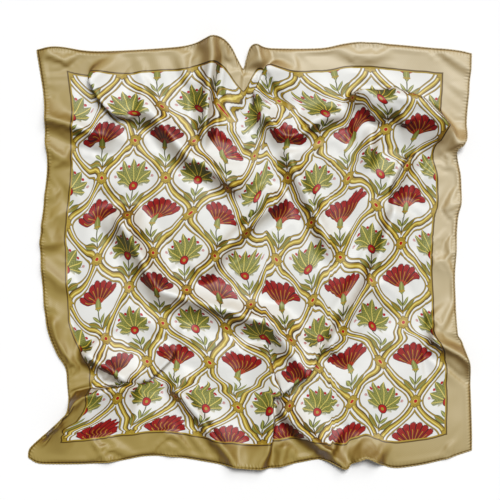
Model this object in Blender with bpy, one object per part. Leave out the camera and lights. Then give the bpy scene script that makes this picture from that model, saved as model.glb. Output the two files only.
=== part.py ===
"""Silk square scarf, 90 cm, lying flat and rumpled on a table.

One square of silk twill and its four hand-rolled hems. The cloth is a thin wall: its plan comes
from the four edge lines, and its height from a table of folds and a table of smaller creases.
A fold may lean over, so that its crest hides the cloth behind it. Metres, +Z up, with the origin
on the table under the middle of the scarf. +Y is the top edge.
"""

from collections import namedtuple

import bmesh
import bpy
import numpy as np

MM = 0.001

# Driving dimensions
WALL = 1.8 * MM            # wall of the cloth
SEAM = 0.3 * MM            # gap between the panel and a hem
HEM_RADIUS = 1.5 * MM      # half the thickness of a rolled hem
HEM_BUTT = 2.5 * MM        # side hems stop this far short of the corners
CELLS = 52                 # cells along each side of the panel
CURVE_STEPS = 5            # straight steps between two points of a fold's crest line
EDGE_STEPS = 12            # straight steps between two points of an edge line
EDGE_REACH = 0.30          # how far inwards the bends of an edge are felt, as a share of the side
EDGE_UPRIGHT = 0.05        # folds stop leaning this close to an edge, as a share of the side
MERGE = 2.5                # exponent that merges large folds: higher keeps only the tallest
CREST_ROUND = 0.10        # rounding of a crest, as a share of the fold's reach
FOOT = 1.6                # how softly a fold's slope runs out at its foot: 1 is a plain tent
TIP_REACH = 0.5            # share of its reach that a fold keeps where it dies out
LEAN_FROM = 0.35           # share of a fold's height above which it leans in full
STEEPEST = 2.2             # limit on how much the wall is thickened upwards on a slope
SLOPE_STEP = 0.5 * MM      # step used to measure a slope

UPRIGHT = (0, 0)

# Edge lines of the finished square, as (x, y) in millimetres from its middle, seen from above
TOP_EDGE = (
    (-408, 388), (-368, 393), (-288, 385), (-134, 394), (-84, 407), (-65, 411), (-49, 406), (-35, 391),
    (-23, 368), (-12, 351), (-6, 369), (2, 392), (14, 396), (37, 391), (135, 391), (215, 402),
    (384, 388), (425, 381)
)
RIGHT_EDGE = (
    (425, -379), (425, -339), (421, -237), (414, -199), (405, -170), (396, -154), (394, -91),
    (393, -37), (398, 60), (404, 95), (404, 147), (395, 191), (406, 204), (414, 224), (416, 264),
    (425, 381)
)
BOTTOM_EDGE = (
    (-424, -393), (-407, -403), (-374, -405), (-307, -404), (-249, -398), (-195, -389), (-134, -392),
    (-30, -409), (35, -412), (93, -402), (139, -396), (181, -412), (194, -402), (214, -393),
    (229, -392), (269, -411), (312, -409), (365, -398), (425, -379)
)
LEFT_EDGE = (
    (-424, -393), (-420, -375), (-384, -342), (-353, -313), (-346, -299), (-349, -254), (-353, -220),
    (-371, -189), (-390, -130), (-400, 5), (-399, 39), (-387, 169), (-391, 216), (-391, 277),
    (-408, 388)
)

# Folds, in millimetres. A row holds
#   name, height of the crest, reach of the slopes to the left and to the right of the crest,
#   length over which the fold rises at its start and falls at its end (0 runs off the edge),
#   lean of the crest in x and y for each millimetre of height, and the crest line seen from above.
Fold = namedtuple("Fold", "name height left right start end lean crest")

# Large folds merge into each other, the taller one winning
FOLDS = (
    Fold("tl_tube", 30, 58, 26, 37, 31, (-0.7, -0.5),
         ((-322, 358), (-286, 287), (-249, 254), (-230, 256))),
    Fold("long_diag", 30, 85, 32, 43, 61, UPRIGHT,
         ((-245, 256), (-222, 264), (-197, 264), (-176, 252), (-144, 210), (-111, 176), (-88, 164),
          (-44, 135), (-23, 116), (-3, 89))),
    Fold("left_a", 22, 60, 34, 0, 74, UPRIGHT,
         ((-407, 256), (-372, 252), (-280, 222), (-215, 216))),
    Fold("peak_ridge", 32, 28, 34, 0, 80, (0.2, 0),
         ((-65, 427), (-68, 389), (-76, 331), (-82, 245), (-92, 158))),
    Fold("peak_flank", 20, 90, 80, 0, 74, UPRIGHT,
         ((-65, 435), (-67, 377), (-71, 347))),
    Fold("v_ridge", 19, 25, 42, 0, 31, UPRIGHT,
         ((12, 412), (25, 339))),
    Fold("cone_west", 25, 63, 21, 25, 37, (-0.6, 0.2),
         ((45, 375), (0, 291), (-5, 274))),
    Fold("shelf", 25, 55, 36, 49, 74, UPRIGHT,
         ((-5, 289), (45, 241), (60, 224), (81, 221), (100, 228), (139, 254), (219, 272))),
    Fold("roof_north", 38, 38, 84, 46, 38, (0.1, 0.8),
         ((173, 302), (196, 308), (258, 310), (277, 314), (310, 301), (338, 290), (365, 263),
          (390, 222))),
    Fold("roof_lip", 25, 40, 24, 30, 34, (0, -0.48),
         ((229, 216), (240, 235), (256, 249), (269, 251), (283, 242), (310, 224))),
    Fold("roof_south", 28, 40, 44, 30, 0, (0, -0.3),
         ((276, 238), (312, 231), (336, 229), (358, 222), (377, 212), (400, 203), (415, 201))),
    Fold("mouth_left", 20, 26, 46, 25, 49, UPRIGHT,
         ((242, 241), (233, 222), (228, 174), (233, 147))),
    Fold("roll", 19, 21, 21, 25, 43, (-0.5, 0.3),
         ((321, 199), (292, 162), (271, 116), (264, 89))),
    Fold("centre_s", 21, 76, 30, 37, 61, UPRIGHT,
         ((66, 216), (77, 174), (135, 45), (152, -1), (158, -30))),
    Fold("centre_diag", 22, 32, 66, 31, 55, UPRIGHT,
         ((73, 116), (-39, 14), (-102, -59), (-122, -76))),
    Fold("long_crease", 21, 80, 26, 49, 31, UPRIGHT,
         ((285, 120), (258, 32), (231, -36), (216, -72), (173, -135), (156, -168), (133, -199))),
    Fold("swag", 32, 60, 44, 49, 31, UPRIGHT,
         ((-268, 91), (-215, 5), (-184, -57), (-167, -74), (-142, -82), (-59, -108), (-36, -112),
          (-13, -122), (35, -135), (52, -147), (81, -195), (112, -233))),
    Fold("bl_upper", 30, 63, 26, 37, 37, UPRIGHT,
         ((-334, -176), (-291, -208), (-264, -222), (-211, -266))),
    Fold("bl_tube", 31, 25, 67, 0, 31, (-0.1, 0.35),
         ((-372, -322), (-339, -289), (-293, -266), (-238, -256), (-207, -258))),
    Fold("small_over", 15, 17, 50, 25, 31, (0.5, -0.5),
         ((-132, -183), (-151, -206), (-192, -243), (-215, -258))),
    Fold("low_diag", 21, 60, 26, 37, 0, UPRIGHT,
         ((-161, -229), (-147, -251), (-51, -372), (-23, -421))),
    Fold("spine_mid", 21, 17, 46, 31, 0, (0.6, 0),
         ((33, -164), (37, -191), (44, -322), (35, -425))),
    Fold("cone_low", 28, 21, 71, 25, 25, (0.38, -0.6),
         ((143, -180), (112, -229), (54, -275), (41, -293))),
    Fold("low_right", 30, 56, 24, 25, 12, UPRIGHT,
         ((43, -287), (60, -300), (116, -355), (165, -386))),
    Fold("tip", 21, 38, 25, 18, 0, UPRIGHT,
         ((139, -377), (171, -400), (189, -420))),
    Fold("hem_lift", 30, 59, 42, 25, 25, UPRIGHT,
         ((192, -418), (223, -396), (256, -416))),
    Fold("notch_right", 12, 59, 42, 37, 0, UPRIGHT,
         ((319, -107), (367, -144), (384, -152), (408, -153))),
    Fold("right_low", 26, 26, 34, 31, 0, UPRIGHT,
         ((327, -151), (348, -160), (365, -174), (406, -199), (434, -222))),
)

# Small creases are laid on top of them
CREASES = (
    Fold("tl_corner", 10, 50, 25, 25, 37, UPRIGHT,
         ((-407, 395), (-326, 347))),
    Fold("left_b", 10, 34, 42, 0, 31, UPRIGHT,
         ((-407, 214), (-349, 176), (-330, 168))),
    Fold("left_c", 5, 38, 21, 0, 31, UPRIGHT,
         ((-407, 107), (-384, 107), (-349, 120))),
    Fold("left_d", 8, 38, 50, 12, 43, UPRIGHT,
         ((-407, 47), (-334, 91))),
    Fold("left_e", 10, 50, 25, 0, 37, UPRIGHT,
         ((-414, 18), (-368, 16), (-345, 22))),
    Fold("left_f", 10, 42, 38, 0, 43, UPRIGHT,
         ((-410, -26), (-384, -39), (-330, -87))),
    Fold("left_g", 5, 34, 25, 0, 37, UPRIGHT,
         ((-407, -95), (-337, -126))),
    Fold("left_h", 11, 38, 25, 25, 37, UPRIGHT,
         ((-384, -114), (-360, -180), (-322, -233))),
    Fold("cone_mid", 8, 59, 17, 31, 31, UPRIGHT,
         ((52, 366), (58, 331), (70, 300), (75, 258), (70, 229))),
    Fold("top_crease1", 5, 25, 25, 25, 0, UPRIGHT,
         ((187, 347), (217, 412))),
    Fold("top_crease2", 5, 21, 25, 25, 0, UPRIGHT,
         ((219, 350), (246, 412))),
    Fold("tr_corner", 8, 38, 25, 31, 0, UPRIGHT,
         ((350, 393), (409, 357), (434, 347))),
    Fold("right_a", 4, 29, 29, 31, 0, UPRIGHT,
         ((373, 324), (434, 300))),
    Fold("diag_soft1", 5, 29, 29, 31, 43, UPRIGHT,
         ((216, -49), (242, -78), (285, -133))),
    Fold("diag_soft2", 5, 34, 29, 31, 43, UPRIGHT,
         ((242, -37), (319, -126))),
    Fold("in_a", 8, 59, 42, 31, 31, UPRIGHT,
         ((-274, 185), (-268, 158), (-276, 101))),
    Fold("in_b", 8, 50, 38, 25, 37, UPRIGHT,
         ((-272, 93), (-274, 47), (-266, 20))),
    Fold("in_c", 8, 50, 38, 31, 37, UPRIGHT,
         ((-224, 97), (-226, 39), (-216, 9))),
    Fold("in_d", 5, 59, 38, 37, 43, UPRIGHT,
         ((-170, 201), (-168, 168), (-176, 105), (-174, 70))),
    Fold("low_left", 10, 42, 50, 37, 43, UPRIGHT,
         ((-245, -97), (-176, -143), (-157, -168))),
    Fold("low_mid", 8, 34, 34, 25, 43, UPRIGHT,
         ((-128, -126), (-126, -153), (-109, -203))),
    Fold("right_mid", 8, 34, 34, 0, 43, UPRIGHT,
         ((411, 12), (323, -41))),
    Fold("right_up", 8, 25, 34, 0, 37, UPRIGHT,
         ((419, 101), (350, 78))),
    Fold("bl_border", 8, 25, 29, 25, 0, UPRIGHT,
         ((-311, -345), (-264, -410))),
    Fold("bottom_a", 5, 29, 25, 25, 0, UPRIGHT,
         ((-136, -329), (-155, -398))),
    Fold("bottom_b", 8, 29, 29, 25, 0, UPRIGHT,
         ((8, -356), (0, -418))),
    Fold("bottom_c", 10, 29, 29, 25, 0, UPRIGHT,
         ((68, -352), (60, -418))),
    Fold("br_corner", 4, 21, 21, 18, 0, UPRIGHT,
         ((377, -356), (381, -402))),
)


def ease(t):
    """Smooth step from 0 to 1."""
    t = np.clip(t, 0.0, 1.0)
    return t * t * (3.0 - 2.0 * t)


def smooth_line(points, steps):
    """Catmull-Rom line through the points, with the given straight steps between two of them."""
    points = np.asarray(points, dtype=float)
    before = 2.0 * points[0] - points[1]
    after = 2.0 * points[-1] - points[-2]
    knots = np.vstack((before, points, after))
    t = np.arange(steps)[:, None] / steps
    spans = []
    for i in range(1, len(knots) - 2):
        p0, p1, p2, p3 = knots[i - 1:i + 3]
        linear = (p2 - p0) * t
        square = (2.0 * p0 - 5.0 * p1 + 4.0 * p2 - p3) * t ** 2
        cube = (3.0 * p1 - p0 - 3.0 * p2 + p3) * t ** 3
        spans.append(0.5 * (2.0 * p1 + linear + square + cube))
    spans.append(points[-1:])
    return np.vstack(spans)


def edge_line(points):
    """An edge as a function of the share of its length, from 0 to 1."""
    line = smooth_line(np.array(points) * MM, EDGE_STEPS)
    lengths = np.hypot(*np.diff(line, axis=0).T)
    share = np.concatenate(([0.0], np.cumsum(lengths)))
    share /= share[-1]

    def at(s):
        return np.stack((np.interp(s, share, line[:, 0]), np.interp(s, share, line[:, 1])), -1)
    return at


# Edges as functions: top and bottom run left to right, the sides run bottom to top
top_edge = edge_line(TOP_EDGE)
bottom_edge = edge_line(BOTTOM_EDGE)
right_edge = edge_line(RIGHT_EDGE)
left_edge = edge_line(LEFT_EDGE)


def plan(a, b):
    """Place on the table of the cloth's point at shares a (left to right) and b (up) of its sides.

    The four corners give a plain quadrilateral. Each edge adds what it strays from its own
    straight chord, and that fades inwards.
    """
    low_left, low_right = bottom_edge(0.0), bottom_edge(1.0)
    high_left, high_right = top_edge(0.0), top_edge(1.0)
    a_, b_ = a[:, None], b[:, None]
    low = low_left * (1 - a_) + low_right * a_
    high = high_left * (1 - a_) + high_right * a_
    left = low_left * (1 - b_) + high_left * b_
    right = low_right * (1 - b_) + high_right * b_

    def fade(inset):
        return np.clip(1.0 - inset / EDGE_REACH, 0.0, 1.0) ** 2

    place = low * (1 - b_) + high * b_
    place += (top_edge(a) - high) * fade(1 - b_)
    place += (bottom_edge(a) - low) * fade(b_)
    place += (right_edge(b) - right) * fade(1 - a_)
    place += (left_edge(b) - left) * fade(a_)
    return place


def from_crest(line, x, y):
    """Distance to a crest line, whether the point lies left of it, and how far along it."""
    near = np.full(x.shape, np.inf)
    is_left = np.zeros(x.shape, dtype=bool)
    along = np.zeros(x.shape)
    walked = 0.0
    for start, end in zip(line[:-1], line[1:]):
        run = end - start
        length = np.hypot(*run)
        dx, dy = x - start[0], y - start[1]
        t = np.clip((dx * run[0] + dy * run[1]) / length ** 2, 0.0, 1.0)
        gap = np.hypot(dx - t * run[0], dy - t * run[1])
        closer = gap < near
        near = np.where(closer, gap, near)
        is_left = np.where(closer, run[0] * dy - run[1] * dx > 0, is_left)
        along = np.where(closer, walked + t * length, along)
        walked += length
    return near, is_left, along, walked


def section(t):
    """Height of a fold's section at t reaches from its crest: a tent, rounded at its crest."""
    run = np.hypot(t, CREST_ROUND) - CREST_ROUND
    full = np.hypot(1.0, CREST_ROUND) - CREST_ROUND
    return np.clip(1.0 - run / full, 0.0, 1.0) ** FOOT


def fold_rise(fold, x, y):
    """Height that one fold gives to the points x, y, before it leans."""
    foot = np.array(fold.crest) * MM - np.array(fold.lean) * fold.height * MM
    near, is_left, along, length = from_crest(smooth_line(foot, CURVE_STEPS), x, y)
    strength = np.ones(x.shape)
    if fold.start:
        strength *= ease(along / (fold.start * MM))
    if fold.end:
        strength *= ease((length - along) / (fold.end * MM))
    reach = np.where(is_left, fold.left, fold.right) * MM
    reach = reach * (TIP_REACH + (1 - TIP_REACH) * np.sqrt(strength))
    return fold.height * MM * strength * section(near / reach)


def cloth_rise(x, y):
    """Height of the cloth over its flat lie, and its lean, at the points x, y."""
    merged = np.zeros(x.shape)
    lean = np.zeros(x.shape + (2,))
    for fold in FOLDS:
        rise = fold_rise(fold, x, y)
        merged += rise ** MERGE
        if fold.lean != UPRIGHT:
            part = ease(rise / (LEAN_FROM * fold.height * MM))
            lean += np.array(fold.lean) * part[..., None]
    laid_on = sum(fold_rise(crease, x, y) for crease in CREASES)
    return merged ** (1 / MERGE) + laid_on, lean


def cloth_faces(a, b):
    """Upper and lower face of the wall at the cloth's points a, b.

    The lower face hangs a wall's thickness under the upper one, measured square to the slope, and
    never reaches under the table. Both are then leant over by the same rule, so they never meet.
    """
    x, y = plan(a, b).T
    rise, lean = cloth_rise(x, y)
    slope_x = (cloth_rise(x + SLOPE_STEP, y)[0] - rise) / SLOPE_STEP
    slope_y = (cloth_rise(x, y + SLOPE_STEP)[0] - rise) / SLOPE_STEP
    upright = np.minimum(np.sqrt(1 + slope_x ** 2 + slope_y ** 2), STEEPEST)
    upper = WALL + rise
    lower = np.maximum(upper - WALL * upright, 0.0)
    inset = np.minimum(np.minimum(a, 1 - a), np.minimum(b, 1 - b))
    lean = lean * ease(inset / EDGE_UPRIGHT)[:, None]
    faces = []
    for z in (upper, lower):
        over = np.maximum(z - WALL, 0.0)
        faces.append(np.column_stack((x + lean[:, 0] * over, y + lean[:, 1] * over, z)))
    return faces


def flattest_diagonal(corners):
    """Pair of opposite corners of a cell whose heights differ least, so that crests stay whole."""
    first, second = corners[0::2], corners[1::2]
    if abs(first[0].co.z - first[1].co.z) <= abs(second[0].co.z - second[1].co.z):
        return first
    return second


def finish(name, colour, roughness):
    """Plain dielectric finish for one piece."""
    material = bpy.data.materials.new(name)
    material.use_nodes = True
    shader = material.node_tree.nodes["Principled BSDF"]
    shader.inputs["Base Color"].default_value = (*colour, 1.0)
    shader.inputs["Roughness"].default_value = roughness
    shader.inputs["Metallic"].default_value = 0.0
    return material


def make_panel(collection, middle):
    """The square of twill: a grid laid on the upper face, then drawn down to the lower one."""
    sheet = bmesh.new()
    bmesh.ops.create_grid(sheet, x_segments=CELLS, y_segments=CELLS, size=0.5)
    sheet.verts.ensure_lookup_table()
    station = sheet.verts.layers.int.new("station")
    for vertex in sheet.verts:
        vertex[station] = vertex.index
    shares = np.array([vertex.co[:2] for vertex in sheet.verts]) + 0.5
    upper, lower = cloth_faces(shares[:, 0], shares[:, 1])
    upper[:, :2] -= middle
    lower[:, :2] -= middle

    for vertex in sheet.verts:
        vertex.co = upper[vertex.index]
    for face in sheet.faces[:]:
        bmesh.utils.face_split(face, *flattest_diagonal(face.verts[:]))

    drawn = bmesh.ops.extrude_face_region(sheet, geom=sheet.faces[:])
    for item in drawn["geom"]:
        if isinstance(item, bmesh.types.BMVert):
            item.co = lower[item[station]]
    bmesh.ops.recalc_face_normals(sheet, faces=sheet.faces[:])

    mesh = bpy.data.meshes.new("silk_panel")
    sheet.to_mesh(mesh)
    sheet.free()
    mesh.shade_smooth()
    mesh.materials.append(finish("silk_twill", (0.80, 0.78, 0.72), 0.45))
    panel = bpy.data.objects.new("silk_panel", mesh)
    collection.objects.link(panel)
    return panel


def turned_out(run, side):
    """Unit vectors square to the runs, to the left (side 1) or to the right (side -1)."""
    square = np.column_stack((-run[:, 1], run[:, 0])) * side
    return square / np.hypot(run[:, 0], run[:, 1])[:, None]


def hem_route(a, b, side, at_corners):
    """Middle line of the roll that lies along the panel's edge through the stations a, b."""
    upper, lower = cloth_faces(a, b)
    line = (upper[:, :2] + lower[:, :2]) / 2
    outwards = turned_out(np.diff(line, axis=0), side)
    before = np.vstack((outwards[:1], outwards))
    after = np.vstack((outwards, outwards[-1:]))
    mitre = before + after
    reach = 2 * (SEAM + HEM_RADIUS) / (mitre ** 2).sum(axis=1)
    line = line + mitre * reach[:, None]
    for end, inner in ((0, 1), (-1, -2)):
        run = line[end] - line[inner]
        line[end] += run / np.hypot(*run) * at_corners
    return np.column_stack((line, lower[:, 2] + HEM_RADIUS))


def hem_routes():
    """Routes of the four rolls. Top and bottom cover the corners, and the sides butt against them."""
    walk = np.linspace(0.0, 1.0, CELLS + 1)
    none, all_ = np.zeros(CELLS + 1), np.ones(CELLS + 1)
    past = SEAM + 2 * HEM_RADIUS
    return {
        "hem_top": hem_route(walk, all_, 1, past),
        "hem_right": hem_route(all_, walk, -1, -HEM_BUTT),
        "hem_bottom": hem_route(walk, none, -1, past),
        "hem_left": hem_route(none, walk, 1, -HEM_BUTT),
    }


def make_hem(name, route, collection, middle, material):
    """One rolled hem: a round roll along its route, with closed ends."""
    curve = bpy.data.curves.new(name, "CURVE")
    curve.dimensions = "3D"
    curve.bevel_depth = HEM_RADIUS
    curve.bevel_resolution = 2
    curve.use_fill_caps = True
    spline = curve.splines.new("POLY")
    spline.points.add(len(route) - 1)
    for point, (x, y, z) in zip(spline.points, route):
        point.co = (x - middle[0], y - middle[1], z, 1.0)
    curve.materials.append(material)
    hem = bpy.data.objects.new(name, curve)
    collection.objects.link(hem)
    return hem


def main():
    for old in list(bpy.data.objects):
        bpy.data.objects.remove(old)
    scarf = bpy.data.collections.new("silk_square_scarf")
    bpy.context.scene.collection.children.link(scarf)

    routes = hem_routes()
    outline = np.vstack(list(routes.values()))[:, :2]
    middle = (outline.min(axis=0) + outline.max(axis=0)) / 2

    make_panel(scarf, middle)
    rolled = finish("silk_hem", (0.52, 0.43, 0.22), 0.45)
    for name, route in routes.items():
        make_hem(name, route, scarf, middle, rolled)


main()
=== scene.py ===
# %% [markdown]
# # Silk square scarf, laid flat and rumpled
#
# A carre is one square of silk twill, 90 cm a side, printed in one piece with a plain border. Its
# edges are rolled to the face by hand and held with slip stitches. This one was dropped on a table
# and pulled roughly flat, so soft ridges run across it and a few of them fall over.
#
# The CAD model already holds that shape as a coarse solid. This script lays a finer, thinner cloth
# on the same form, prints it, rolls its hems and stitches them.

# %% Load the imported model
import math
from collections import namedtuple

import bpy
import numpy as np
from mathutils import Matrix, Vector


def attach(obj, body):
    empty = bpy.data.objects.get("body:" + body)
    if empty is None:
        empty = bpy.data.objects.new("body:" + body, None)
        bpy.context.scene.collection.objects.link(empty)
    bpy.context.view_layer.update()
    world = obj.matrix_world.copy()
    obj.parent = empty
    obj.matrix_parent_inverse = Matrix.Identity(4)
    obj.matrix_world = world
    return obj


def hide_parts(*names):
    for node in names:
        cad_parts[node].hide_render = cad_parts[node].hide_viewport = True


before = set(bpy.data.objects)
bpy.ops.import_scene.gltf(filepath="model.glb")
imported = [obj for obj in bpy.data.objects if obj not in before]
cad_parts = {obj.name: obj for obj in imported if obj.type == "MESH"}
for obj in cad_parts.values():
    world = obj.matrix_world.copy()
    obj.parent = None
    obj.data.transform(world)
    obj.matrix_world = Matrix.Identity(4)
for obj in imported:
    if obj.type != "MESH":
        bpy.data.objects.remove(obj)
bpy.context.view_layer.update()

MM = 0.001

# %% [markdown]
# ## Sizes
#
# The cloth is about 0.15 mm thick in life. It is drawn at 0.5 mm, so that it stays a clean closed
# shell, and it lies on the table where no fold lifts it. A hand-rolled hem is a soft cord of
# cloth about 2.4 mm thick, and its slip stitches sit 6 to 7 mm apart.

# %% Sizes
SIDE = 900 * MM            # finished square, measured along the cloth
BORDER = 50 * MM           # plain border inside the hem
THICK = 0.5 * MM           # cloth
HEM_RADIUS = 1.2 * MM
STITCH_STEP = 6.7 * MM
LAID_CELLS = 107           # cells along each side of the cloth as laid
CELL_PARTS = 2             # each of them is cut into this many once the cloth has settled

# %% [markdown]
# ## The lie of the cloth
#
# The shape could come from a cloth simulation, but a simulation won't put a ridge where this scarf
# has one. So the ridges are laid one by one, the way a dresser would arrange them. Each row of a
# table is one fold: its height, the reach of its left and right slopes, the lengths over which it
# rises at its start and dies out at its end, its lean, and the line of its crest as seen from
# above. All lengths are millimetres and all places count from about the middle of the cloth. A
# lean is how far the crest moves in x and in y for each millimetre of its height.

# %% The outline, edge by edge
TOP_EDGE = (
    (-408, 388), (-368, 393), (-288, 385), (-134, 394), (-84, 407), (-65, 411), (-49, 406), (-35, 391),
    (-23, 368), (-12, 351), (-6, 369), (2, 392), (14, 396), (37, 391), (135, 391), (215, 402),
    (384, 388), (425, 381)
)
RIGHT_EDGE = (
    (425, -379), (425, -339), (421, -237), (414, -199), (405, -170), (396, -154), (394, -91),
    (393, -37), (398, 60), (404, 95), (404, 147), (395, 191), (406, 204), (414, 224), (416, 264),
    (425, 381)
)
BOTTOM_EDGE = (
    (-424, -393), (-407, -403), (-374, -405), (-307, -404), (-249, -398), (-195, -389), (-134, -392),
    (-30, -409), (35, -412), (93, -402), (139, -396), (181, -412), (194, -402), (214, -393),
    (229, -392), (269, -411), (312, -409), (365, -398), (425, -379)
)
LEFT_EDGE = (
    (-424, -393), (-420, -375), (-384, -342), (-353, -313), (-346, -299), (-349, -254), (-353, -220),
    (-371, -189), (-390, -130), (-400, 5), (-399, 39), (-387, 169), (-391, 216), (-391, 277),
    (-408, 388)
)

# %% The large folds
UPRIGHT = (0, 0)
Fold = namedtuple("Fold", "name height left right start end lean crest")

FOLDS = (
    Fold("tl_tube", 30, 58, 26, 37, 31, (-0.7, -0.5),
         ((-322, 358), (-286, 287), (-249, 254), (-230, 256))),
    Fold("long_diag", 30, 85, 32, 43, 61, UPRIGHT,
         ((-245, 256), (-222, 264), (-197, 264), (-176, 252), (-144, 210), (-111, 176), (-88, 164),
          (-44, 135), (-23, 116), (-3, 89))),
    Fold("left_a", 22, 60, 34, 0, 74, UPRIGHT,
         ((-407, 256), (-372, 252), (-280, 222), (-215, 216))),
    Fold("peak_ridge", 32, 28, 34, 0, 80, (0.2, 0),
         ((-65, 427), (-68, 389), (-76, 331), (-82, 245), (-92, 158))),
    Fold("peak_flank", 20, 90, 80, 0, 74, UPRIGHT,
         ((-65, 435), (-67, 377), (-71, 347))),
    Fold("v_ridge", 19, 25, 42, 0, 31, UPRIGHT,
         ((12, 412), (25, 339))),
    Fold("cone_west", 25, 63, 21, 25, 37, (-0.6, 0.2),
         ((45, 375), (0, 291), (-5, 274))),
    Fold("shelf", 25, 55, 36, 49, 74, UPRIGHT,
         ((-5, 289), (45, 241), (60, 224), (81, 221), (100, 228), (139, 254), (219, 272))),
    Fold("roof_north", 38, 38, 84, 46, 38, (0.1, 0.8),
         ((173, 302), (196, 308), (258, 310), (277, 314), (310, 301), (338, 290), (365, 263),
          (390, 222))),
    Fold("roof_lip", 25, 40, 24, 30, 34, (0, -0.48),
         ((229, 216), (240, 235), (256, 249), (269, 251), (283, 242), (310, 224))),
    Fold("roof_south", 28, 40, 44, 30, 0, (0, -0.3),
         ((276, 238), (312, 231), (336, 229), (358, 222), (377, 212), (400, 203), (415, 201))),
    Fold("mouth_left", 20, 26, 46, 25, 49, UPRIGHT,
         ((242, 241), (233, 222), (228, 174), (233, 147))),
    Fold("roll", 19, 21, 21, 25, 43, (-0.5, 0.3),
         ((321, 199), (292, 162), (271, 116), (264, 89))),
    Fold("centre_s", 21, 76, 30, 37, 61, UPRIGHT,
         ((66, 216), (77, 174), (135, 45), (152, -1), (158, -30))),
    Fold("centre_diag", 22, 32, 66, 31, 55, UPRIGHT,
         ((73, 116), (-39, 14), (-102, -59), (-122, -76))),
    Fold("long_crease", 21, 80, 26, 49, 31, UPRIGHT,
         ((285, 120), (258, 32), (231, -36), (216, -72), (173, -135), (156, -168), (133, -199))),
    Fold("swag", 32, 60, 44, 49, 31, UPRIGHT,
         ((-268, 91), (-215, 5), (-184, -57), (-167, -74), (-142, -82), (-59, -108), (-36, -112),
          (-13, -122), (35, -135), (52, -147), (81, -195), (112, -233))),
    Fold("bl_upper", 30, 63, 26, 37, 37, UPRIGHT,
         ((-334, -176), (-291, -208), (-264, -222), (-211, -266))),
    Fold("bl_tube", 31, 25, 67, 0, 31, (-0.1, 0.35),
         ((-372, -322), (-339, -289), (-293, -266), (-238, -256), (-207, -258))),
    Fold("small_over", 15, 17, 50, 25, 31, (0.5, -0.5),
         ((-132, -183), (-151, -206), (-192, -243), (-215, -258))),
    Fold("low_diag", 21, 60, 26, 37, 0, UPRIGHT,
         ((-161, -229), (-147, -251), (-51, -372), (-23, -421))),
    Fold("spine_mid", 21, 17, 46, 31, 0, (0.6, 0),
         ((33, -164), (37, -191), (44, -322), (35, -425))),
    Fold("cone_low", 28, 21, 71, 25, 25, (0.38, -0.6),
         ((143, -180), (112, -229), (54, -275), (41, -293))),
    Fold("low_right", 30, 56, 24, 25, 12, UPRIGHT,
         ((43, -287), (60, -300), (116, -355), (165, -386))),
    Fold("tip", 21, 38, 25, 18, 0, UPRIGHT,
         ((139, -377), (171, -400), (189, -420))),
    Fold("hem_lift", 30, 59, 42, 25, 25, UPRIGHT,
         ((192, -418), (223, -396), (256, -416))),
    Fold("notch_right", 12, 59, 42, 37, 0, UPRIGHT,
         ((319, -107), (367, -144), (384, -152), (408, -153))),
    Fold("right_low", 26, 26, 34, 31, 0, UPRIGHT,
         ((327, -151), (348, -160), (365, -174), (406, -199), (434, -222))),
)

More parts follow.
